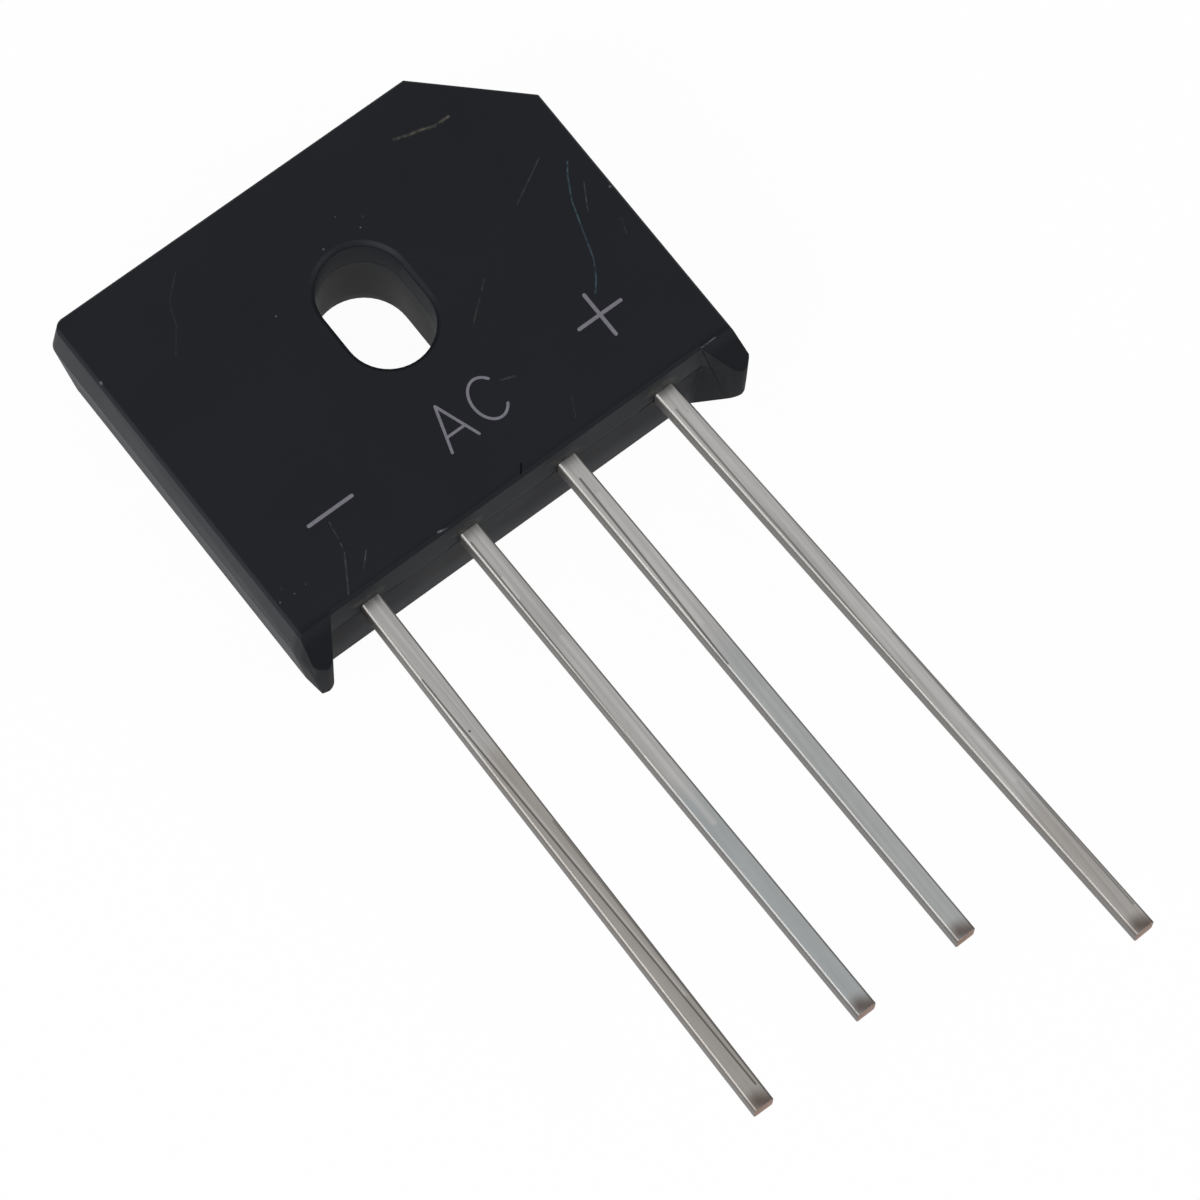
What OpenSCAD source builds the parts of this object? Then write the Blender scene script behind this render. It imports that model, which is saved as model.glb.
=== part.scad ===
// Single-phase bridge rectifier: a flat moulded body with a screw slot and four square leads in line.
// The origin is the centre of the screw slot, on the back (mounting) face.
// X runs from the negative lead to the positive lead, Y runs away from the leads,
// and Z runs from the back face to the marked front face. All lengths are millimetres.

/* [Moulded body] */
// width at the mould's parting line
body_width = 22.8; // [22.4:0.1:24.4]
// height at the parting line, without the feet
body_height = 17.3; // [16.9:0.1:18.5]
// back face to marked face
body_thickness = 6.8; // [6.6:0.1:7.6]
// marked face down to the parting line
parting_drop = 1.9; // [1.7:0.05:2.2]
// screw slot's centre to the top edge
slot_to_top = 7.54; // [7.4:0.02:8]
// side walls' draft, degrees
side_draft = 7.25; // [3:0.25:8]
// top and bottom walls' draft, degrees
end_draft = 4; // [2:0.5:6]
// polarity bevel along X
bevel_x = 4.3; // [3:0.1:4.6]
// polarity bevel along Y
bevel_y = 4.1; // [3:0.1:4.4]
// rounding of the plain top corner
corner_radius = 0.6; // [0.3:0.1:1]
// small break round the marked face
edge_break = 0.12; // [0.05:0.01:0.2]

/* [Feet] */
// how far the feet stand below the bottom wall
foot_height = 1.38; // [1:0.02:1.6]
// centre line to the feet's inner side, at the bottom wall's parting line
foot_inner_x = 9.66; // [9.4:0.02:9.8]
// slant of the feet's inner side, degrees
foot_slant = 33; // [20:1:40]
// rounding of a foot's inner corner, in plan
toe_radius = 0.8; // [0.4:0.05:0.9]
// rounding of a foot's outer corner, in plan
foot_radius = 0.85; // [0.5:0.05:1]
// height of the toe's upright band in front of the parting line
foot_band = 0.45; // [0.3:0.05:0.8]
// level where the slope behind the toe begins
foot_back_z = 2.6; // [1.8:0.1:3]

/* [Screw slot] */
// slot's width, for an M4 screw's shank
slot_width = 4; // [3.6:0.1:4.2]
// slot's length, end to end
slot_length = 5.8; // [5:0.1:6]
// chamfer round the slot's front rim
slot_chamfer = 0.2; // [0.1:0.05:0.3]
// draft of the slot's walls behind the parting line, degrees
slot_draft = 3.25; // [1:0.25:4]

/* [Leads] */
// lead pitch
lead_pitch = 5.08; // [4.8:0.01:5.2]
// side of the square lead
lead_size = 0.95; // [0.85:0.05:1.05]
// rounding of the lead's long edges
lead_radius = 0.15; // [0.1:0.01:0.2]
// negative lead's length outside the body
negative_length = 26.5; // [25:0.1:32]
// first a.c. lead's length outside the body
ac_length_1 = 25.9; // [25:0.1:32]
// second a.c. lead's length outside the body
ac_length_2 = 25.9; // [25:0.1:32]
// positive lead's length outside the body, cut longest
positive_length = 30.1; // [25:0.1:34]
// negative lead's lean towards the positive lead's side, degrees
negative_lean = -0.7; // [-2:0.1:2]
// first a.c. lead's lean, degrees
ac_lean_1 = 0.7; // [-2:0.1:2]
// second a.c. lead's lean, degrees
ac_lean_2 = 0.8; // [-2:0.1:2]
// positive lead's lean, degrees
positive_lean = 2.3; // [-2:0.1:3]

/* [Inside] */
// side of a diode die
die_size = 2.1; // [1.8:0.1:2.2]
// thickness of a diode die
die_thickness = 0.3; // [0.2:0.02:0.34]
// side of a solder joint
solder_size = 1.9; // [1.5:0.1:2]
// thickness of a solder joint
solder_thickness = 0.1; // [0.08:0.01:0.12]
// centre line to the centre of a column of dice
die_column_x = 4.65; // [4.6:0.05:4.7]

/* [Hidden] */
$fn = 64;
// far outside the part, for shapes that only lend it one side
reach = 60;
// how far cutting shapes run past the part
past = 1;
// how far a foot's shape starts inside the bottom wall
foot_root = 1;
// keeps a rounding from being a perfect tangent to the wall it ends on
rounding_crease = 10;
outline_margin = 0.02;
moulding_colour = [0.13, 0.14, 0.16];
tin_colour = [0.72, 0.72, 0.7];
silicon_colour = [0.35, 0.36, 0.4];
solder_colour = [0.6, 0.61, 0.62];

half_width = body_width / 2;
parting_z = body_thickness - parting_drop;
top_y = slot_to_top;
bottom_y = slot_to_top - body_height;
side_x_front = half_width - parting_drop * tan(side_draft);
side_x_back = half_width - parting_z * tan(side_draft);
front_inset = parting_drop * tan(end_draft);
back_inset = parting_z * tan(end_draft);
toe_y = bottom_y - foot_height;

lead_x = [-1.5 * lead_pitch, -0.5 * lead_pitch, 0.5 * lead_pitch, 1.5 * lead_pitch];
lead_length = [negative_length, ac_length_1, ac_length_2, positive_length];
lead_lean = [negative_lean, ac_lean_1, ac_lean_2, positive_lean];
// how far the square lead runs on inside the body
lead_embed = 1;

// levels of the stack: lead frame, solder, die, solder, a.c. pad
frame_z = parting_z - lead_size / 2;
upper_solder_z = frame_z - solder_thickness;
die_z = upper_solder_z - die_thickness;
lower_solder_z = die_z - solder_thickness;
pad_z = lower_solder_z - lead_size;
joggle_drop = frame_z - pad_z;

// plan of the inner conductors
blade_start_y = bottom_y + 0.7;
joggle_start_y = bottom_y + 0.9;
joggle_end_y = joggle_start_y + joggle_drop;
// length of strap that lies flat on the pad
strap_lap = 0.6;
strap_width = 1.6;
// how much wider than its lead a blade is, outside and inside
negative_shoulder = [0.3, 0.25];
positive_shoulder = [0.2, 0.25];
// from the slot's ends to the middle of the rows of dice
lower_row_y = -(slot_length / 2 + 2.4);
upper_row_y = slot_length / 2 + 2.25;
arm_width = die_size + 0.1;
pad_inner_x = slot_width / 2 + 1.1;
pad_outer_x = die_column_x + die_size / 2 + 0.5;
// the arms stop short of the pads' outer edge
arm_end_x = pad_outer_x - 0.3;
// least space between the negative arm's end and the positive blade
blade_gap = 0.3;

// ---- small tools ----

// extrudes an X-Z outline along Y
module along_y() {
    rotate([90, 0, 0]) linear_extrude(reach, center = true) children();
}

// extrudes a Y-Z outline along X
module along_x(length = reach) {
    rotate([90, 0, 90]) linear_extrude(length, center = true) children();
}

// half outline of a drafted wall, from far inside out to the wall
// out_back, out_parting, out_front: wall position at the back, parting line and front
module wall_outline(out_back, out_parting, out_front, front_break) {
    front_lean = (out_parting - out_front) / parting_drop;
    polygon([
        [-reach, 0],
        [out_back, 0],
        [out_parting, parting_z],
        [out_front + front_break * front_lean, body_thickness - front_break],
        [out_front - front_break, body_thickness],
        [-reach, body_thickness]
    ]);
}

// what a rounding takes off the edge where two leaning walls meet, in the +X +Y corner
// the edge passes through at; the walls lean inwards, going up, by lean_x and lean_y degrees
// the rounding meets each wall at a slight crease, not as a perfect tangent
module edge_rounding(at, lean_x, lean_y, radius) {
    size = 2 * radius + past;
    skew = sin(lean_x) * sin(lean_y);
    far = sqrt(1 - skew * skew);
    depth = radius * cos(rounding_crease);
    translate([at[0] - depth / cos(lean_x), at[1] - depth / cos(lean_y), at[2]])
        rotate([atan(tan(lean_y) * cos(lean_x)), -lean_x, 0])
            linear_extrude(reach / 2, center = true) difference() {
                polygon([[0, 0], [size, 0], [size * (1 + skew), size * far], [size * skew, size * far]]);
                circle(radius);
            }
}

// ---- moulded body ----

module body_block() {
    intersection() {
        along_y() intersection() {
            wall_outline(side_x_back, half_width, side_x_front, edge_break);
            mirror([1, 0]) wall_outline(side_x_back, half_width, side_x_front, edge_break);
        }
        along_x() intersection() {
            wall_outline(top_y - back_inset, top_y, top_y - front_inset, edge_break);
            mirror([1, 0])
                wall_outline(-bottom_y - back_inset, -bottom_y, -bottom_y - front_inset, edge_break);
        }
        bevel_side();
    }
}

// the drafted wall across the corner nearest the positive lead
module bevel_side() {
    length = sqrt(bevel_x * bevel_x + bevel_y * bevel_y);
    out = (half_width * bevel_y + (top_y - bevel_y) * bevel_x) / length;
    rotate([0, 0, atan(bevel_x / bevel_y)])
        along_y() wall_outline(out - back_inset, out, out - front_inset, edge_break);
}

// rounding of the top corner that has no bevel, in front of and behind the parting line
module top_corner_rounding() {
    mirror([1, 0, 0]) {
        intersection() {
            edge_rounding([half_width, top_y, parting_z], side_draft, end_draft, corner_radius);
            translate([0, 0, parting_z]) cube(reach);
        }
        intersection() {
            mirror([0, 0, 1])
                edge_rounding([half_width, top_y, -parting_z], side_draft, end_draft, corner_radius);
            translate([0, 0, parting_z - reach]) cube(reach);
        }
    }
}

// one foot, on the positive side: a rounded nose in plan, sloped in front and behind
module foot() {
    // the slopes run on past the toe by this share, so that the plan alone shapes it
    run_on = 0.1;
    front_y = bottom_y + front_inset;
    back_y = bottom_y + back_inset;
    band_z = parting_z + foot_band;
    intersection() {
        along_y() wall_outline(side_x_back, half_width, side_x_front, edge_break);
        along_x() polygon([
            [bottom_y + foot_root, 0],
            [back_y, 0],
            [toe_y + run_on * (toe_y - back_y), foot_back_z * (1 + run_on)],
            [toe_y + run_on * (toe_y - front_y), band_z - run_on * (body_thickness - band_z)],
            [front_y, body_thickness],
            [bottom_y + foot_root, body_thickness]
        ]);
        translate([0, 0, -past]) linear_extrude(body_thickness + 2 * past) foot_plan();
    }
}

// the outline's outer corner ends just outside the side wall's parting line
module foot_plan() {
    inner_x = foot_inner_x + foot_height * tan(foot_slant);
    outer_x = half_width + outline_margin;
    root_x = foot_inner_x - foot_root * tan(foot_slant);
    difference() {
        polygon([
            [root_x, bottom_y + foot_root],
            [inner_x, toe_y],
            [outer_x, toe_y],
            [outer_x, bottom_y + foot_root]
        ]);
        translate([inner_x, toe_y]) corner_waste(90 + foot_slant, toe_radius);
        translate([outer_x, toe_y]) mirror([1, 0]) corner_waste(90, foot_radius);
    }
}

// what a rounding takes off an outline's corner at the origin
// one side runs along +X and the other is turned from it by the opening, in degrees
module corner_waste(opening, radius) {
    run = radius / tan(opening / 2);
    difference() {
        polygon([[0, 0], [run, 0], [run, radius], [run * cos(opening), run * sin(opening)]]);
        translate([run, radius]) circle(radius);
    }
}

// straight in front of the parting line, drafted behind it, chamfered at the front rim
module screw_slot() {
    end_y = (slot_length - slot_width) / 2;
    radius = slot_width / 2;
    rim = radius + slot_chamfer;
    rim_z = body_thickness - slot_chamfer;
    mouth = radius + parting_z * tan(slot_draft);
    for (side = [-1, 1]) translate([0, side * end_y, 0]) {
        cylinder(parting_z, r1 = mouth, r2 = radius);
        translate([0, 0, parting_z]) cylinder(rim_z - parting_z, r = radius);
        translate([0, 0, rim_z]) cylinder(slot_chamfer, r1 = radius, r2 = rim);
    }
    rotate([90, 0, 0]) linear_extrude(2 * end_y, center = true) polygon([
        [-mouth, 0],
        [mouth, 0],
        [radius, parting_z],
        [radius, rim_z],
        [rim, body_thickness],
        [-rim, body_thickness],
        [-radius, rim_z],
        [-radius, parting_z]
    ]);
}

module moulded_body() {
    color(moulding_colour) difference() {
        union() {
            body_block();
            foot();
            mirror([1, 0, 0]) foot();
        }
        top_corner_rounding();
        screw_slot();
        negative_terminal();
        ac_terminal(1);
        ac_terminal(2);
        positive_terminal();
        for (number = [1:4]) die_stack(number);
    }
}

// ---- terminals: lead and inner conductor are one stamping ----

module lead_section() {
    flat = lead_size - 2 * lead_radius;
    square([lead_size, flat], center = true);
    square([flat, lead_size], center = true);
    for (x = [-1, 1], y = [-1, 1]) translate([x * flat / 2, y * flat / 2]) circle(lead_radius);
}

// index counts the leads from the negative one
module lead(index) {
    translate([lead_x[index], bottom_y, parting_z])
        rotate([0, 0, lead_lean[index]])
            rotate([90, 0, 0])
                translate([0, 0, -lead_embed])
                    linear_extrude(lead_length[index] + lead_embed) lead_section();
}

// flat part of a terminal: outline in plan, at the given level
module blade(level, outline) {
    translate([0, 0, level]) linear_extrude(lead_size) polygon(outline);
}

module negative_terminal() {
    outer_x = lead_x[0] - lead_size / 2 - negative_shoulder[0];
    inner_x = lead_x[0] + lead_size / 2 + negative_shoulder[1];
    low_y = lower_row_y - arm_width / 2;
    high_y = lower_row_y + arm_width / 2;
    color(tin_colour) union() {
        lead(0);
        blade(frame_z, [
            [outer_x, blade_start_y],
            [inner_x, blade_start_y],
            [inner_x, low_y],
            [arm_end_x, low_y],
            [arm_end_x, high_y],
            [outer_x, high_y]
        ]);
    }
}

module positive_terminal() {
    outer_x = lead_x[3] + lead_size / 2 + positive_shoulder[0];
    inner_x = max(lead_x[3] - lead_size / 2 - positive_shoulder[1], arm_end_x + blade_gap);
    low_y = upper_row_y - arm_width / 2;
    high_y = upper_row_y + arm_width / 2;
    color(tin_colour) union() {
        lead(3);
        blade(frame_z, [
            [outer_x, blade_start_y],
            [outer_x, low_y],
            [inner_x, high_y],
            [-arm_end_x, high_y],
            [-arm_end_x, low_y],
            [inner_x, low_y],
            [inner_x, blade_start_y]
        ]);
    }
}

// number 1 is next to the negative lead, number 2 next to the positive lead
module ac_terminal(number) {
    color(tin_colour) union() {
        lead(number);
        if (number == 1) mirror([1, 0, 0]) ac_inner();
        if (number == 2) ac_inner();
    }
}

// strap that steps down from the lead to the pad level, and the pad that carries two dice
module ac_inner() {
    // keeps the strap's thickness through its two bends
    bend = lead_size * tan(22.5);
    strap_x = lead_x[2];
    translate([strap_x, 0, 0]) along_x(strap_width) polygon([
        [blade_start_y, frame_z],
        [joggle_start_y - bend, frame_z],
        [joggle_end_y - bend, pad_z],
        [joggle_end_y + strap_lap, pad_z],
        [joggle_end_y + strap_lap, pad_z + lead_size],
        [joggle_end_y, pad_z + lead_size],
        [joggle_start_y, frame_z + lead_size],
        [blade_start_y, frame_z + lead_size]
    ]);
    blade(pad_z, [
        [strap_x - strap_width / 2, joggle_end_y],
        [pad_outer_x, joggle_end_y],
        [pad_outer_x, upper_row_y + arm_width / 2],
        [pad_inner_x, upper_row_y + arm_width / 2],
        [pad_inner_x, lower_row_y + arm_width / 2],
        [strap_x - strap_width / 2, lower_row_y + arm_width / 2]
    ]);
}

// ---- dice and their solder joints ----

// dice 1 and 2 are below the slot, 3 and 4 above it; odd ones are on the first a.c. terminal
function die_x(number) = number % 2 == 1 ? -die_column_x : die_column_x;
function die_y(number) = number <= 2 ? lower_row_y : upper_row_y;

// a square wafer at a die's place
module wafer(number, level, side, thickness) {
    translate([die_x(number) - side / 2, die_y(number) - side / 2, level]) cube([side, side, thickness]);
}

module die(number) {
    color(silicon_colour) wafer(number, die_z, die_size, die_thickness);
}

module upper_solder(number) {
    color(solder_colour) wafer(number, upper_solder_z, solder_size, solder_thickness);
}

module lower_solder(number) {
    color(solder_colour) wafer(number, lower_solder_z, solder_size, solder_thickness);
}

module die_stack(number) {
    upper_solder(number);
    die(number);
    lower_solder(number);
}

moulded_body();
negative_terminal();
ac_terminal(1);  // ac_terminal_1
ac_terminal(2);  // ac_terminal_2
positive_terminal();
die(1);  // die_1
die(2);  // die_2
die(3);  // die_3
die(4);  // die_4
upper_solder(1);  // solder_1_upper
lower_solder(1);  // solder_1_lower
upper_solder(2);  // solder_2_upper
lower_solder(2);  // solder_2_lower
upper_solder(3);  // solder_3_upper
lower_solder(3);  // solder_3_lower
upper_solder(4);  // solder_4_upper
lower_solder(4);  // solder_4_lower
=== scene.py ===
"""Looks of a single-in-line bridge rectifier.

It dresses the moulded body, the four plated terminals and the inner dice and solder, prints the polarity
marks and sets up the stage.
"""

import math

import bmesh
import bpy
import numpy as np
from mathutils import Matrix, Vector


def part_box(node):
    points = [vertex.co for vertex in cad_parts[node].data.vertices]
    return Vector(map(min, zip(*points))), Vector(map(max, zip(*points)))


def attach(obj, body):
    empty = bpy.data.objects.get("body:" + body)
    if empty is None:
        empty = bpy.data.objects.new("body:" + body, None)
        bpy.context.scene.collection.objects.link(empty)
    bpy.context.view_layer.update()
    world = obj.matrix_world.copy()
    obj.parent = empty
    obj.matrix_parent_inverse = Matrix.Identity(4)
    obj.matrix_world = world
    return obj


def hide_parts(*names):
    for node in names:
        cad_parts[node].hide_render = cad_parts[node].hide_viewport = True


bl_info = {
    "name": "Bridge rectifier looks",
    "version": (1, 0, 0),
    "blender": (4, 5, 0),
    "location": "3D view, sidebar, Rectifier",
    "description": "Dresses the packed bridge rectifier and sets up its stage",
    "category": "Object",
}

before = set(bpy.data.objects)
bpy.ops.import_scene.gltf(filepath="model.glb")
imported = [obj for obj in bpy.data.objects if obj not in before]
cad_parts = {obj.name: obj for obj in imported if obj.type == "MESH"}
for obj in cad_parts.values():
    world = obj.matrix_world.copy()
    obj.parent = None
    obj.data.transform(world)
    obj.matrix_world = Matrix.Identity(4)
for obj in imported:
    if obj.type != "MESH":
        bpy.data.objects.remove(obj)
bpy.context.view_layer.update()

MM = 0.001
BODY_LOW, BODY_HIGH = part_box("moulded_body")
FACE_Z = BODY_HIGH.z
PARTING_Z = 4.9 * MM
BOTTOM_Y = -9.76 * MM
MERGE_REACH = 0.004 * MM
SAME_PLACE = 0.01
# each lead's place across the body (mm), its length (mm) and its lean (degrees)
LEADS = ((-7.62, 26.5, -0.7), (-2.54, 25.9, 0.7), (2.54, 25.9, 0.8), (7.62, 30.1, 2.3))
LEAD_X = tuple(place for place, _, _ in LEADS)
LEAD_FRONT = 5.375
FACE_LEVEL = 6.8
# on each foot, a corner point of the toe and where the corner's rounding starts on the inner side (mm)
FOOT_CORNERS = (
    ((10.556, -11.14, 2.6), (10.3197, -10.776, 2.05)),
    ((10.556, -11.14, 5.35), (10.3197, -10.776, 5.699)),
)
TERMINALS = ("negative_terminal", "ac_terminal_1", "ac_terminal_2", "positive_terminal")
DICE = tuple(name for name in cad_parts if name.startswith("die_"))
SOLDER = tuple(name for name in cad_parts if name.startswith("solder_"))


# ---- sizes and colours that a user would change ----


def colour_property(name, description, default):
    """A hex colour kept as text, such as 1c2026."""
    return bpy.props.StringProperty(name=name, description=description, default=default)


def length_property(name, description, default_mm):
    """A length in metres whose default is given in millimetres."""
    return bpy.props.FloatProperty(
        name=name, description=description, default=default_mm * MM, unit="LENGTH", precision=6
    )


class BodySettings(bpy.types.PropertyGroup):
    """Sizes and colours of the moulded body."""

    edge_radius: length_property("Edge radius", "Rounding of the moulded edges", 0.05)
    compound: colour_property("Compound", "Moulding compound", "151920")
    grain: length_property("Grain", "Size of the mould's fine grain", 0.09)


class TerminalSettings(bpy.types.PropertyGroup):
    """Sizes and colours of the terminals."""

    edge_radius: length_property("Edge radius", "Rounding of the terminals' sharp edges", 0.03)
    tin: colour_property("Tin", "Dull tin plating", "f2f0ed")
    copper: colour_property("Copper", "Bare copper on the sheared ends", "9a7866")


class PrintSettings(bpy.types.PropertyGroup):
    """Sizes and colours of the polarity marks."""

    bar_width: length_property("Bar width", "Stroke of the plus and minus", 0.165)
    letter_width: length_property("Letter width", "Stroke of the letters", 0.125)
    ink: colour_property("Ink", "Marking ink", "827f89")


class StageSettings(bpy.types.PropertyGroup):
    """Camera, lamps and floor."""

    camera_place: bpy.props.FloatVectorProperty(
        name="Camera place", description="Camera position", default=(-0.056646, -0.078732, 0.255118),
        subtype="TRANSLATION", precision=6,
    )
    camera_turn: bpy.props.FloatVectorProperty(
        name="Camera turn", description="Camera rotation",
        default=(math.radians(18.7166), math.radians(-1.3723), math.radians(-37.7075)), subtype="EULER",
    )
    lens: bpy.props.FloatProperty(name="Lens", description="Focal length in millimetres", default=193.1)
    sky: bpy.props.FloatProperty(name="Sky", description="Strength of the light from all round", default=0.45)
    key_power: bpy.props.FloatProperty(name="Key", description="Key lamp power", default=2.0, unit="POWER")
    fill_power: bpy.props.FloatProperty(name="Fill", description="Fill lamp power", default=1.2, unit="POWER")


# ---- tools ----


def linear(hex_colour):
    """sRGB hex to linear RGBA, by channel: c / 12.92 up to 0.04045, else ((c + 0.055) / 1.055) ** 2.4."""
    channels = [int(hex_colour[i : i + 2], 16) / 255 for i in (0, 2, 4)]
    return tuple(c / 12.92 if c <= 0.04045 else ((c + 0.055) / 1.055) ** 2.4 for c in channels) + (1.0,)


def new_material(name):
    """An empty node material with its output; returns the material, its tree and the output node."""
    material = bpy.data.materials.new(name)
    material.use_nodes = True
    material.node_tree.nodes.clear()
    output = material.node_tree.nodes.new("ShaderNodeOutputMaterial")
    return material, material.node_tree, output


def add(tree, kind, settings=None, **links):
    """Adds a node: settings set its properties, links set its inputs or join them to other nodes' outputs."""
    node = tree.nodes.new(kind)
    for key, value in (settings or {}).items():
        setattr(node, key, value)
    for key, value in links.items():
        name = key.replace("_", " ")
        socket = node.inputs[int(key[1:])] if key[0] == "i" and key[1:].isdigit() else node.inputs[name]
        if isinstance(value, bpy.types.NodeSocket):
            tree.links.new(value, socket)
        else:
            socket.default_value = value
    return node


def shade(hex_colour, part):
    """The linear colour of hex_colour, darkened to part of its light."""
    return tuple(part * c for c in linear(hex_colour)[:3]) + (1.0,)


def maths(tree, operation, *values, clamp=False):
    """The output of a maths node: the operation on the values."""
    links = {f"i{index}": value for index, value in enumerate(values)}
    return add(tree, "ShaderNodeMath", {"operation": operation, "use_clamp": clamp}, **links).outputs[0]


def vectors(tree, operation, first, second):
    """A vector maths node for the operation on two vectors."""
    return add(tree, "ShaderNodeVectorMath", {"operation": operation}, i0=first, i1=second)


def ramp(tree, value, start, end, low=0.0, high=1.0):
    """Turns a value that runs from start to end into one that runs from low to high."""
    node = add(
        tree, "ShaderNodeMapRange", Value=value, From_Min=start, From_Max=end, To_Min=low, To_Max=high
    )
    return node.outputs["Result"]


def blend(tree, share, low, high):
    """Goes from the low colour to the high one as share goes from 0 to 1."""
    return add(tree, "ShaderNodeMix", {"data_type": "RGBA"}, i0=share, i6=low, i7=high).outputs[2]


def noise(tree, place, size, detail=3.0, roughness=0.6):
    """Noise whose features are about size across."""
    node = add(tree, "ShaderNodeTexNoise", Vector=place, Scale=1 / size, Detail=detail, Roughness=roughness)
    return node.outputs["Fac"]


def stretch(tree, place, scale):
    """The place, scaled along each axis."""
    return add(tree, "ShaderNodeMapping", Vector=place, Scale=scale).outputs["Vector"]


def bumps(tree, strength, depth, height):
    """The surface's direction, tilted by a height map."""
    return add(tree, "ShaderNodeBump", Strength=strength, Distance=depth, Height=height).outputs["Normal"]


def close_cavities(work):
    """Takes the hidden cavity out of the body's copy and closes the four openings that the leads fill.

    A face is in the cavity when all its corners lie inside the box of the inner conductors and not all of
    them on the wall of the screw slot, nor all of them on the wall that the leads leave.
    """

    def inside(place):
        x, y, z = (value / MM for value in place)
        return abs(x) < 10 and -9.8 < y < 6.8 and 1.5 < z < 5.6

    def on_slot(place):
        return abs(place.x) < 2.4 * MM and abs(place.y) < 3.25 * MM

    def on_wall(place):
        return place.y < BOTTOM_Y + 0.1 * MM

    hidden = [
        face for face in work.faces
        if all(inside(v.co) for v in face.verts)
        and not all(on_slot(v.co) for v in face.verts)
        and not all(on_wall(v.co) for v in face.verts)
    ]
    bmesh.ops.delete(work, geom=hidden, context="FACES")
    rims = [edge for edge in work.edges if edge.is_boundary]
    bmesh.ops.holes_fill(work, edges=rims, sides=0)


def close_foot_corners(work):
    """Takes out the thin fin that the CAD leaves on each foot, past the rounding of its inner toe corner.

    Each corner point slides back along the foot's inner side to the point where the rounding starts, and the
    two triangles between them vanish when the points are merged.
    """
    for corner, start in FOOT_CORNERS:
        for point in work.verts:
            x, y, z = (value / MM for value in point.co)
            if math.dist((abs(x), y, z), corner) < SAME_PLACE:
                point.co = (math.copysign(start[0], x) * MM, start[1] * MM, start[2] * MM)
    bmesh.ops.remove_doubles(work, verts=work.verts, dist=MERGE_REACH)
    bmesh.ops.dissolve_degenerate(work, edges=work.edges, dist=MERGE_REACH)


def merged_copy(node_name, piece_name, solid=False):
    """A copy of a CAD node with doubles merged and flat areas joined, so that its edges can be rounded."""
    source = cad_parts[node_name]
    mesh = bpy.data.meshes.new(piece_name)
    work = bmesh.new()
    work.from_mesh(source.data)
    bmesh.ops.remove_doubles(work, verts=work.verts, dist=1e-6)
    if solid:
        close_foot_corners(work)
        close_cavities(work)
    bmesh.ops.dissolve_limit(work, angle_limit=math.radians(0.5), verts=work.verts, edges=work.edges)
    bmesh.ops.recalc_face_normals(work, faces=work.faces)
    work.to_mesh(mesh)
    work.free()
    piece = bpy.data.objects.new(piece_name, mesh)
    bpy.context.scene.collection.objects.link(piece)
    return piece


def round_edges(piece, radius, angle):
    """Rounds every edge sharper than angle degrees; the faint crease at the parting line stays sharp."""
    mesh = piece.data
    mesh.polygons.foreach_set("use_smooth", np.ones(len(mesh.polygons), bool))
    places = np.empty(len(mesh.vertices) * 3)
    mesh.vertices.foreach_get("co", places)
    ends = np.empty(len(mesh.edges) * 2, int)
    mesh.edges.foreach_get("vertices", ends)
    level = np.abs(places.reshape(-1, 3)[ends.reshape(-1, 2), 2] - PARTING_Z).max(axis=1)
    crease = mesh.attributes.new("sharp_edge", "BOOLEAN", "EDGE")
    crease.data.foreach_set("value", level < 0.001 * MM)
    bevel = piece.modifiers.new("Rounded edges", "BEVEL")
    bevel.width = radius
    bevel.segments = 3
    bevel.limit_method = "ANGLE"
    bevel.angle_limit = math.radians(angle)
    bevel.use_clamp_overlap = False
    bevel.loop_slide = False
    weigh = piece.modifiers.new("Flat faces", "WEIGHTED_NORMAL")
    weigh.mode = "FACE_AREA"
    weigh.weight = 100
    weigh.keep_sharp = True


def link_mesh(name, points, faces):
    """A new mesh object from an array of points and a list or array of faces."""
    mesh = bpy.data.meshes.new(name)
    mesh.from_pydata(points.tolist(), [], [list(map(int, face)) for face in faces])
    mesh.validate()
    mesh.update()
    piece = bpy.data.objects.new(name, mesh)
    bpy.context.scene.collection.objects.link(piece)
    return piece


# ---- materials ----


def mark_group():
    """A node group that is 1 on a straight mark from Start to End and fades to 0 at Width from it.

    The distance is from the point to its nearest place on the mark: Start plus the mark's direction times
    the share of it reached, which is kept between 0 and 1.
    """
    group = bpy.data.node_groups.new("straight_mark", "ShaderNodeTree")
    for name, kind in (("Place", "Vector"), ("Start", "Vector"), ("End", "Vector"), ("Width", "Float")):
        group.interface.new_socket(name=name, in_out="INPUT", socket_type=f"NodeSocket{kind}")
    group.interface.new_socket(name="Mark", in_out="OUTPUT", socket_type="NodeSocketFloat")
    sockets = group.nodes.new("NodeGroupInput").outputs
    away = vectors(group, "SUBTRACT", sockets["Place"], sockets["Start"]).outputs[0]
    run = vectors(group, "SUBTRACT", sockets["End"], sockets["Start"]).outputs[0]
    reach = vectors(group, "DOT_PRODUCT", away, run).outputs["Value"]
    whole = vectors(group, "DOT_PRODUCT", run, run).outputs["Value"]
    share = maths(group, "DIVIDE", reach, whole, clamp=True)
    foot = add(group, "ShaderNodeVectorMath", {"operation": "SCALE"}, i0=run, Scale=share).outputs[0]
    gap = vectors(group, "DISTANCE", away, foot).outputs["Value"]
    fade = add(
        group, "ShaderNodeMapRange", {"interpolation_type": "SMOOTHSTEP"},
        Value=gap, From_Min=0.0, From_Max=sockets["Width"], To_Min=1.0, To_Max=0.0,
    )
    end = group.nodes.new("NodeGroupOutput")
    group.links.new(fade.outputs["Result"], end.inputs["Mark"])
    return group


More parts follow.
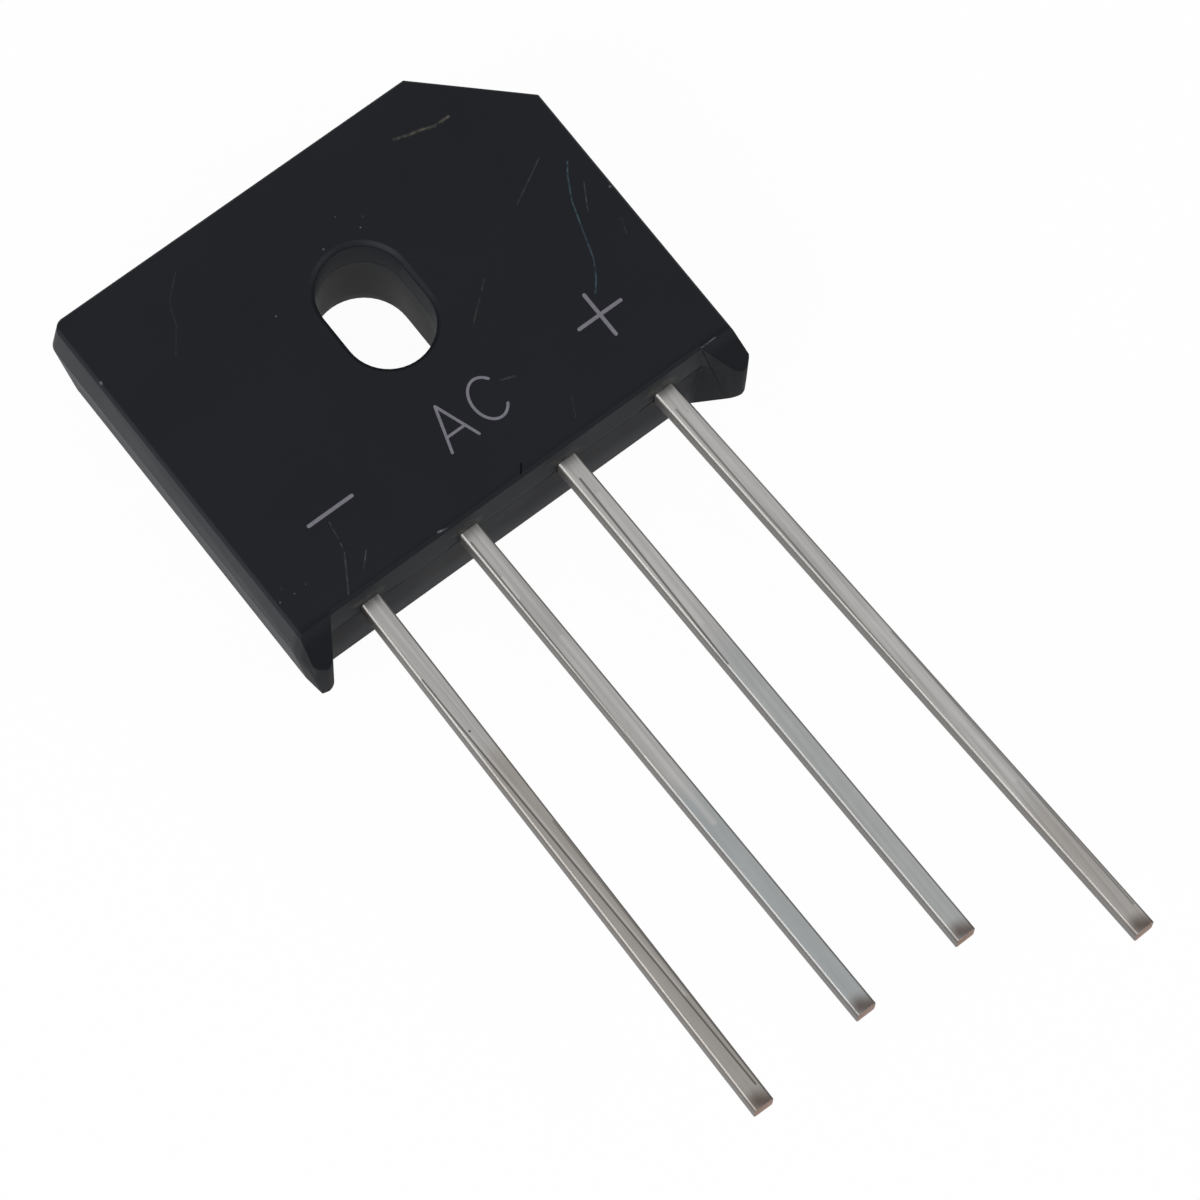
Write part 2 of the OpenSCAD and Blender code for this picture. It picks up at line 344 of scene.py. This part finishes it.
def marks(tree, place, group, lines):
    """The strongest of many marks, each given as x, y, z of both ends, a width (mm) and a strength."""
    total = None
    for x0, y0, z0, x1, y1, z1, width, strength in lines:
        mark = add(
            tree, "ShaderNodeGroup", {"node_tree": group}, Place=place, Start=(x0 * MM, y0 * MM, z0 * MM),
            End=(x1 * MM, y1 * MM, z1 * MM), Width=width * MM,
        )
        value = maths(tree, "MULTIPLY", mark.outputs["Mark"], strength)
        if total is not None:
            value = maths(tree, "MAXIMUM", total, value)
        total = value
    return total


def paths(points, width, strength, level=FACE_LEVEL):
    """Straight marks along a path of x, y places (mm) on the marked face."""
    return [(*a, level, *b, level, width, strength) for a, b in zip(points, points[1:])]


# handling marks on the marked face, in millimetres
PALE_MARKS = (
    paths([(-5.67, 6.2), (-6.69, 5.27), (-7.08, 4.25), (-7.86, 3.23)], 0.05, 0.08)
    + paths([(-7.23, -6.45), (-7.47, -7.78), (-8.48, -9.42)], 0.05, 0.18)
    + paths([(-6.77, -8.33), (-7.3, -8.88)], 0.05, 0.25)
    + paths([(4.0, -8.1), (3.6, -8.9)], 0.05, 0.08)
    + paths([(9.33, -9.63), (10.34, -9.6)], 0.045, 0.6)
    + paths([(-3.95, -9.47), (-3.5, -9.58)], 0.07, 0.9)
    + paths([(10.25, -0.83), (9.56, -2.0)], 0.05, 0.2)
    + paths([(10.47, -3.1), (10.27, -3.7)], 0.05, 0.2)
    + paths([(2.14, -5.75), (2.7, -5.95)], 0.08, 0.15)
    + [(x, y, 6.8, x, y, 6.8, size, 0.7) for x, y, size in (
        (1.05, 4.17, 0.07), (1.98, 3.5, 0.06), (-0.2, 3.3, 0.07), (1.6, 3.15, 0.05), (-3.56, 2.1, 0.06),
        (-10.5, -7.55, 0.09), (-10.9, -8.0, 0.05), (-10.2, -8.05, 0.05), (-9.6, -8.0, 0.05),
        (-11.06, 4.1, 0.12), (11.0, -1.66, 0.1),
    )]
)
BLUE_MARKS = (
    paths(
        [(10.25, 0.3), (9.88, -0.2), (9.33, -1.2), (8.86, -2.6), (8.47, -3.8), (8.0, -4.58), (7.6, -5.05)],
        0.06, 0.35,
    )
)
WARM_MARKS = (
    paths([(5.1, 5.47), (5.66, 5.27), (6.2, 5.14), (6.83, 4.92), (7.53, 4.92)], 0.1, 0.35)
    + paths([(9.44, 1.16), (7.4, 0.03)], 0.05, 0.14)
    + paths([(4.33, -1.77), (2.77, -3.06)], 0.05, 0.14)
)
# resin bleed where the leads leave the moulding, on the wall in front of the parting line
BLEED = [(x + dx, -9.7, 5.9, x + dx + 0.35, -9.72, 5.6, 0.5, 0.6) for x in LEAD_X for dx in (-0.65, 0.05)]
# flash lines and gaps along the parting line, and one short mark on the marked face: grooves in the bumps,
# darkened with painted shade
GAP_GROOVES_AND_SHADE = (
    [(-9.28, -9.76, 4.92, -8.2, -9.76, 4.92, 0.06, 1.0), (-6.9, -9.76, 4.94, -5.9, -9.76, 4.9, 0.07, 1.0)]
    + [(-3.6, -9.76, 4.92, -3.1, -9.76, 4.93, 0.07, 1.0), (1.4, -9.76, 4.92, 2.0, -9.76, 4.93, 0.07, 1.0)]
    + [(6.37, -9.76, 4.9, 7.1, -9.76, 4.94, 0.1, 1.0), (8.65, -9.76, 4.9, 9.6, -9.76, 4.93, 0.1, 1.0)]
    + [(0.58, -9.15, 6.8, 0.27, -9.53, 6.8, 0.07, 1.0)]
)


def moulding_compound(settings):
    """Black epoxy moulding compound from a fine-sparked steel mould: satin, near black and faintly grained.

    Handling has left pale, blue and warm marks on the marked face, and resin bleed stains the lead roots. A
    dark line of painted shade, over a groove in the bumps, runs along the parting line where the mould's
    halves met. The wall that the leads leave, and the feet, are darkened with painted shade: a near-black
    matt diffuse is mixed in there.
    """
    material, tree, output = new_material("epoxy_moulding_compound")
    place = add(tree, "ShaderNodeTexCoord").outputs["Object"]
    axes = add(tree, "ShaderNodeSeparateXYZ", Vector=place).outputs
    grain = noise(tree, place, settings.grain)
    bloom = noise(tree, place, 6 * MM, 4.0, 0.55)
    patchy = ramp(tree, noise(tree, place, 0.3 * MM, 4.0, 0.7), 0.35, 0.62)
    group = mark_group()
    colour = blend(tree, bloom, shade(settings.compound, 0.7), linear(settings.compound))
    for lines, tone in (
        (PALE_MARKS, "8d8a92"), (BLUE_MARKS, "5f7f8c"), (WARM_MARKS, "8c8676"), (BLEED, "57584f")
    ):
        mask = maths(tree, "MULTIPLY", marks(tree, place, group, lines), patchy)
        colour = blend(tree, mask, colour, linear(tone))

    # painted shade: a dark line along the parting crease, which also presses a groove into the bumps
    far = maths(tree, "ABSOLUTE", maths(tree, "SUBTRACT", axes["Z"], PARTING_Z))
    line = ramp(tree, far, 0.01 * MM, 0.04 * MM, 0.75, 0.0)
    seam_groove_and_shade = maths(tree, "MAXIMUM", line, marks(tree, place, group, GAP_GROOVES_AND_SHADE))
    height = maths(tree, "ADD", grain, maths(tree, "MULTIPLY", seam_groove_and_shade, -3.0))
    shader = add(
        tree, "ShaderNodeBsdfPrincipled", Base_Color=colour, Roughness=ramp(tree, bloom, 0.3, 0.7, 0.5, 0.6),
        IOR=1.5, Specular_IOR_Level=0.25, Normal=bumps(tree, 0.3, 0.01 * MM, height),
    )

    # painted shade: a near-black matt diffuse mixed into the wall that the leads leave, most behind the
    # parting line and on the feet, and along the parting line
    behind = ramp(tree, axes["Z"], PARTING_Z + 0.05 * MM, PARTING_Z - 0.05 * MM)
    toe = ramp(tree, axes["Y"], -9.8 * MM, -10.1 * MM)
    lower = ramp(tree, axes["Y"], -9.3 * MM, -9.6 * MM, 0.0, 0.5)
    deeper = maths(tree, "MULTIPLY_ADD", maths(tree, "MAXIMUM", behind, toe), 0.4, 0.6)
    matt = maths(tree, "MAXIMUM", maths(tree, "MULTIPLY", deeper, lower), seam_groove_and_shade)
    painted_shade_black = add(tree, "ShaderNodeBsdfDiffuse", Color=linear("0a0a0b"))
    whole = add(tree, "ShaderNodeMixShader", i0=matt, i1=shader.outputs["BSDF"], i2=painted_shade_black.outputs["BSDF"])
    tree.links.new(whole.outputs["Shader"], output.inputs["Surface"])
    return material


def on_lead(lead, points, width, strength):
    """Straight marks on a lead's front side through places along it and across it from its middle (mm)."""
    root, _, lean = LEADS[lead]
    turn = math.radians(lean)
    path = [
        (root + along * math.sin(turn) + across, BOTTOM_Y / MM - along * math.cos(turn))
        for along, across in points
    ]
    return paths(path, width, strength, LEAD_FRONT)


# tarnish on the ends, painted dark reflections along the leads with one real pit, and painted highlights on
# the leads
TARNISH = [
    mark
    for lead, (_, length, _) in enumerate(LEADS)
    for mark in on_lead(lead, [(length - 0.25, -0.1), (length, 0.3)], 0.75, 0.85)
]
WARM_TIN = (
    on_lead(0, [(9.0, 0.0), (17.0, 0.0), (26.5, 0.0)], 1.6, 0.7)
    + on_lead(3, [(24.0, 0.0), (30.0, 0.0)], 1.6, 0.4)
)
COOL_TIN = on_lead(1, [(15.0, 0.0), (25.9, 0.0)], 1.8, 0.7) + on_lead(2, [(11.0, 0.0), (25.0, 0.0)], 1.8, 0.5)
# painted dark reflections along the leads' edges; the short mark at 6.9 mm on the first lead is a real pit
PAINTED_DARK_REFLECTIONS_AND_PIT = (
    on_lead(0, [(4.0, -0.36), (9.0, -0.22), (14.0, -0.08), (20.0, 0.1), (25.6, 0.24)], 0.07, 0.8)
    + on_lead(0, [(6.9, -0.12), (6.93, -0.1)], 0.07, 1.0)
    + on_lead(0, [(12.0, 0.33), (26.0, 0.4)], 0.07, 0.5)
    + on_lead(1, [(0.5, -0.3), (7.0, -0.36), (12.0, -0.42)], 0.07, 0.7)
    + on_lead(2, [(1.0, -0.12), (6.0, -0.22), (11.0, -0.36)], 0.08, 0.8)
    + on_lead(3, [(1.0, -0.2), (9.0, -0.3), (16.0, -0.38)], 0.07, 0.6)
    + on_lead(3, [(14.0, 0.36), (29.0, 0.3)], 0.07, 0.5)
)
# painted highlights: bright streaks along the leads
PAINTED_HIGHLIGHTS = (
    on_lead(0, [(5.0, -0.3), (9.0, -0.12), (15.0, 0.04), (21.0, 0.2)], 0.1, 0.6)
    + on_lead(1, [(2.5, -0.22), (3.6, -0.26)], 0.12, 1.0)
    + on_lead(1, [(6.0, 0.1), (16.0, 0.05)], 0.2, 0.6)
    + on_lead(2, [(2.0, 0.05), (9.0, -0.1)], 0.18, 0.7)
    + on_lead(3, [(1.5, 0.1), (12.0, 0.0), (22.0, 0.05)], 0.2, 0.6)
)


def tin_plating(settings):
    """Dull electroplated tin on drawn copper: pale grey and half-matt, streaked along the lead.

    The sides, which the stamping sheared, are rougher than the rolled front and back and are painted darker
    as painted shade. Handling has tarnished the ends. The dark lines along the leads are painted dark
    reflections, with one real pit among them, and the bright streaks beside them are painted highlights.
    """
    material, tree, output = new_material("dull_tin_plating")
    coordinates = add(tree, "ShaderNodeTexCoord").outputs
    place = coordinates["Object"]
    lines = noise(tree, stretch(tree, place, (1.0, 0.015, 1.0)), 0.16 * MM)
    patch = noise(tree, place, 1.6 * MM, 4.0)
    streak = ramp(tree, lines, 0.35, 0.62)
    colour = blend(tree, streak, shade(settings.tin, 0.76), linear(settings.tin))
    group = bpy.data.node_groups["straight_mark"]
    # tin tones, painted highlights, painted dark reflections with one pit, and tarnish
    for spots, tone in (
        (WARM_TIN, "c6beb5"), (COOL_TIN, "cdd5d7"), (PAINTED_HIGHLIGHTS, "fbfaf7"), (PAINTED_DARK_REFLECTIONS_AND_PIT, "4a4644"),
        (TARNISH, "75655c"),
    ):
        colour = blend(tree, marks(tree, place, group, spots), colour, linear(tone))
    # painted shade: the side faces are painted darker, and are also made rougher
    turned = add(tree, "ShaderNodeSeparateXYZ", Vector=coordinates["Normal"]).outputs["X"]
    sheared = ramp(tree, maths(tree, "ABSOLUTE", turned), 0.15, 0.6, 0.0, 0.85)
    colour = blend(tree, sheared, colour, linear("5c5855"))
    rough = ramp(tree, patch, 0.3, 0.7, 0.26, 0.38)
    rough = add(tree, "ShaderNodeMix", {"data_type": "FLOAT"}, i0=sheared, i2=rough, i3=0.5).outputs[0]
    shader = add(
        tree, "ShaderNodeBsdfPrincipled", Base_Color=colour, Metallic=1.0, Roughness=rough,
        Normal=bumps(tree, 0.3, 0.01 * MM, lines),
    )
    tree.links.new(shader.outputs["BSDF"], output.inputs["Surface"])
    return material


def sheared_copper(settings):
    """Bare copper where the leads were cropped: brownish, matt, with short shear lines."""
    material, tree, output = new_material("sheared_copper")
    place = add(tree, "ShaderNodeTexCoord").outputs["Object"]
    lines = noise(tree, stretch(tree, place, (1.0, 1.0, 0.15)), 0.08 * MM)
    tint = blend(tree, lines, shade(settings.copper, 0.55), linear(settings.copper))
    shader = add(
        tree, "ShaderNodeBsdfPrincipled", Base_Color=tint, Metallic=1.0, Roughness=0.5,
        Normal=bumps(tree, 0.5, 0.02 * MM, lines),
    )
    tree.links.new(shader.outputs["BSDF"], output.inputs["Surface"])
    return material


def marking_ink(settings):
    """Pale grey marking ink, thin and slightly uneven over the grain."""
    material, tree, output = new_material("marking_ink")
    place = add(tree, "ShaderNodeTexCoord").outputs["Object"]
    tint = blend(tree, noise(tree, place, 0.15 * MM), shade(settings.ink, 0.55), linear(settings.ink))
    shader = add(tree, "ShaderNodeBsdfPrincipled", Base_Color=tint, Roughness=0.6, IOR=1.45)
    tree.links.new(shader.outputs["BSDF"], output.inputs["Surface"])
    return material


def silicon(name, hex_colour):
    """Passivated silicon wafer: dark blue-grey and smooth, with a faint cloud."""
    material, tree, output = new_material(name)
    place = add(tree, "ShaderNodeTexCoord").outputs["Object"]
    cloud = noise(tree, place, 0.5 * MM, roughness=0.5)
    tint = blend(tree, cloud, shade(hex_colour, 0.7), linear(hex_colour))
    shader = add(tree, "ShaderNodeBsdfPrincipled", Base_Color=tint, Roughness=0.2, Metallic=0.3)
    tree.links.new(shader.outputs["BSDF"], output.inputs["Surface"])
    return material


def soft_solder(name, hex_colour):
    """Soft solder after reflow: grey metal with a frosted grain."""
    material, tree, output = new_material(name)
    place = add(tree, "ShaderNodeTexCoord").outputs["Object"]
    grain = noise(tree, place, 0.1 * MM, roughness=0.5)
    tint = blend(tree, grain, shade(hex_colour, 0.75), linear(hex_colour))
    shader = add(
        tree, "ShaderNodeBsdfPrincipled", Base_Color=tint, Roughness=0.45, Metallic=1.0,
        Normal=bumps(tree, 0.3, 0.01 * MM, grain),
    )
    tree.links.new(shader.outputs["BSDF"], output.inputs["Surface"])
    return material


# ---- pieces ----


class RECTIFIER_OT_body(bpy.types.Operator):
    """Moulded body with softened edges"""

    bl_idname = "rectifier.body"
    bl_label = "Moulded body"

    def execute(self, context):
        settings = context.scene.rectifier_body
        piece = merged_copy("moulded_body", "moulding", solid=True)
        round_edges(piece, settings.edge_radius, 35)
        piece.data.materials.append(moulding_compound(settings))
        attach(piece, "root")
        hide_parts("moulded_body")
        return {"FINISHED"}


class RECTIFIER_OT_terminals(bpy.types.Operator):
    """Plated terminals with bare copper on their cropped ends"""

    bl_idname = "rectifier.terminals"
    bl_label = "Terminals"

    def execute(self, context):
        settings = context.scene.rectifier_terminals
        tin = tin_plating(settings)
        copper = sheared_copper(settings)
        for name in TERMINALS:
            piece = merged_copy(name, name.replace("terminal", "lead"))
            piece.data.materials.append(tin)
            piece.data.materials.append(copper)
            end_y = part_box(name)[0].y
            for polygon in piece.data.polygons:
                if polygon.normal.y < -0.9 and polygon.center.y < end_y + 0.1 * MM:
                    polygon.material_index = 1
            round_edges(piece, settings.edge_radius, 40)
            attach(piece, "root")
            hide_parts(name)
        return {"FINISHED"}


class RECTIFIER_OT_inside(bpy.types.Operator):
    """Dice and solder joints, sealed in the moulding"""

    bl_idname = "rectifier.inside"
    bl_label = "Dice and solder"

    def execute(self, context):
        wafer = silicon("silicon_wafer", "3a3f4c")
        joint = soft_solder("soft_solder", "a5a7a8")
        for names, material in ((DICE, wafer), (SOLDER, joint)):
            for name in names:
                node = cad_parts[name]
                node.data.materials.clear()
                node.data.materials.append(material)
        return {"FINISHED"}


INK_LIFT = 0.004 * MM


def stroke(path, width):
    """A flat closed ribbon of constant width along path, its ends round.

    Each side point is the path point plus or minus half the width times the path's normal; each end is a
    half circle of that radius. Top and bottom are the same outline, one ink layer apart.
    """
    path = np.asarray(path, float)
    tangent = np.gradient(path, axis=0)
    tangent /= np.linalg.norm(tangent, axis=1)[:, None]
    normal = np.stack([-tangent[:, 1], tangent[:, 0]], axis=1)
    half = width / 2
    turn = np.linspace(0, math.pi, 9)[1:-1]
    first = path[0] + half * (-np.cos(turn)[:, None] * normal[0] - np.sin(turn)[:, None] * tangent[0])
    last = path[-1] + half * (np.cos(turn)[:, None] * normal[-1] + np.sin(turn)[:, None] * tangent[-1])
    return np.concatenate([path + half * normal, last, (path - half * normal)[::-1], first])


def ink_piece(name, strokes, material):
    """Joins flat strokes, given in millimetres on the marked face, into one thin layer of ink.

    Each stroke lies a little higher than the one before, so that crossing strokes share no face.
    """
    points, faces = [], []
    for order, outline in enumerate(strokes):
        count = len(outline)
        lift = INK_LIFT * (1 + 0.3 * order)
        base = sum(len(p) for p in points)
        low = np.column_stack([outline * MM, np.full(count, FACE_Z - INK_LIFT)])
        high = np.column_stack([outline * MM, np.full(count, FACE_Z + lift)])
        points += [low, high]
        ring = np.arange(count)
        following = np.roll(ring, -1)
        faces.append(base + ring)
        faces.append((base + count + ring)[::-1])
        faces += list(np.column_stack([ring, ring + count, following + count, following]) + base)
    piece = link_mesh(name, np.concatenate(points), faces)
    piece.data.materials.append(material)
    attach(piece, "root")
    return piece


def arc(centre, radii, start, end, count=28):
    """Points of an ellipse's arc: centre plus radii times cosine and sine of start to end degrees."""
    turn = np.radians(np.linspace(start, end, count))
    return np.column_stack([centre[0] + radii[0] * np.cos(turn), centre[1] + radii[1] * np.sin(turn)])


class RECTIFIER_OT_print(bpy.types.Operator):
    """Polarity marks: minus, AC and plus"""

    bl_idname = "rectifier.print"
    bl_label = "Polarity marks"

    def execute(self, context):
        settings = context.scene.rectifier_print
        ink = marking_ink(settings)
        bar = settings.bar_width / MM
        letter = settings.letter_width / MM
        ink_piece("minus_mark", [stroke([[-8.0, -6.07], [-5.8, -6.07]], bar)], ink)
        ink_piece(
            "plus_mark",
            [stroke([[6.07, -5.93], [8.23, -5.93]], bar), stroke([[7.16, -7.0], [7.16, -4.85]], bar)],
            ink,
        )
        ink_piece(
            "ac_mark",
            [
                stroke([[-1.39, -7.08], [-0.74, -5.03]], letter),
                stroke([[0.0, -7.08], [-0.74, -5.03]], letter),
                stroke([[-1.14, -6.42], [-0.26, -6.42]], letter),
                stroke(arc([1.22, -6.05], [0.72, 1.0], 42, 318), letter),
            ],
            ink,
        )
        return {"FINISHED"}


# ---- stage ----

FLOOR_REACH = 3.0
FLOOR_GAP = 0.02 * MM


def stage_material(name, hex_colour):
    """A matt paper sweep that looks white to the camera and in reflections, and which keeps the shadow."""
    material, tree, output = new_material(name)
    rays = add(tree, "ShaderNodeLightPath").outputs
    mirror = maths(tree, "MAXIMUM", rays["Is Glossy Ray"], rays["Is Transmission Ray"])
    seen = maths(tree, "MULTIPLY", rays["Is Camera Ray"], 0.97)
    share = maths(tree, "MAXIMUM", seen, maths(tree, "MULTIPLY", mirror, 0.5))
    paper = add(tree, "ShaderNodeBsdfDiffuse", Color=linear(hex_colour))
    white = add(tree, "ShaderNodeEmission", Color=(1, 1, 1, 1), Strength=1.0)
    mix = add(
        tree, "ShaderNodeMixShader", i0=share, i1=paper.outputs["BSDF"], i2=white.outputs["Emission"]
    )
    tree.links.new(mix.outputs["Shader"], output.inputs["Surface"])
    return material


def lamp(name, place, aim, size, power):
    """A square area lamp at place, facing aim."""
    light = bpy.data.lights.new(name, "AREA")
    light.shape = "RECTANGLE"
    light.size, light.size_y = size
    light.energy = power
    piece = bpy.data.objects.new(name, light)
    bpy.context.scene.collection.objects.link(piece)
    piece.location = place
    direction = np.subtract(aim, place)
    flat = math.hypot(direction[0], direction[1])
    piece.rotation_euler = (math.atan2(flat, -direction[2]), 0, math.atan2(-direction[0], direction[1]))
    return piece


class RECTIFIER_OT_stage(bpy.types.Operator):
    """Pale floor, soft lamps and the camera"""

    bl_idname = "rectifier.stage"
    bl_label = "Stage"

    def execute(self, context):
        settings = context.scene.rectifier_stage
        scene = context.scene
        points = FLOOR_REACH * np.array([[-1, -1, 0], [1, -1, 0], [1, 1, 0], [-1, 1, 0]], float)
        points[:, 2] = BODY_LOW.z - FLOOR_GAP
        floor = link_mesh("floor", points, [[0, 1, 2, 3]])
        floor.data.materials.append(stage_material("pale_paper", "f4f4f4"))

        world = bpy.data.worlds.new("studio")
        world.use_nodes = True
        scene.world = world
        world.node_tree.nodes["Background"].inputs["Color"].default_value = (1, 1, 1, 1)
        world.node_tree.nodes["Background"].inputs["Strength"].default_value = settings.sky

        lamp("key", (-0.45, -0.1, 0.3), (0, 0, 0), (0.35, 0.35), settings.key_power)
        lamp("fill", (0.35, -0.45, 0.3), (0, 0, 0), (0.4, 0.4), settings.fill_power)

        data = bpy.data.cameras.new("camera")
        data.lens = settings.lens
        data.sensor_width = 36
        data.clip_start = 0.01
        data.clip_end = 20
        camera = bpy.data.objects.new("camera", data)
        scene.collection.objects.link(camera)
        camera.location = settings.camera_place
        camera.rotation_euler = settings.camera_turn
        scene.camera = camera
        scene.view_settings.view_transform = "Standard"
        return {"FINISHED"}


class RECTIFIER_PT_panel(bpy.types.Panel):
    """Lists the rectifier's pieces and their settings"""

    bl_idname = "RECTIFIER_PT_panel"
    bl_label = "Bridge rectifier"
    bl_space_type = "VIEW_3D"
    bl_region_type = "UI"
    bl_category = "Rectifier"

    def draw(self, context):
        for group, operator in GROUPS:
            box = self.layout.box()
            box.operator(operator)
            if group:
                settings = getattr(context.scene, group)
                for name in settings.__annotations__:
                    box.prop(settings, name)


GROUPS = (
    ("rectifier_body", "rectifier.body"),
    ("rectifier_terminals", "rectifier.terminals"),
    (None, "rectifier.inside"),
    ("rectifier_print", "rectifier.print"),
    ("rectifier_stage", "rectifier.stage"),
)

SETTINGS = {
    "rectifier_body": BodySettings,
    "rectifier_terminals": TerminalSettings,
    "rectifier_print": PrintSettings,
    "rectifier_stage": StageSettings,
}

CLASSES = (
    *SETTINGS.values(),
    RECTIFIER_OT_body,
    RECTIFIER_OT_terminals,
    RECTIFIER_OT_inside,
    RECTIFIER_OT_print,
    RECTIFIER_OT_stage,
    RECTIFIER_PT_panel,
)


def register():
    for cls in CLASSES:
        bpy.utils.register_class(cls)
    for name, cls in SETTINGS.items():
        setattr(bpy.types.Scene, name, bpy.props.PointerProperty(type=cls))


def unregister():
    for name in SETTINGS:
        delattr(bpy.types.Scene, name)
    for cls in reversed(CLASSES):
        bpy.utils.unregister_class(cls)


def main():
    register()
    bpy.ops.rectifier.body()
    bpy.ops.rectifier.terminals()
    bpy.ops.rectifier.inside()
    bpy.ops.rectifier.print()
    bpy.ops.rectifier.stage()


if __name__ == "__main__":
    main()
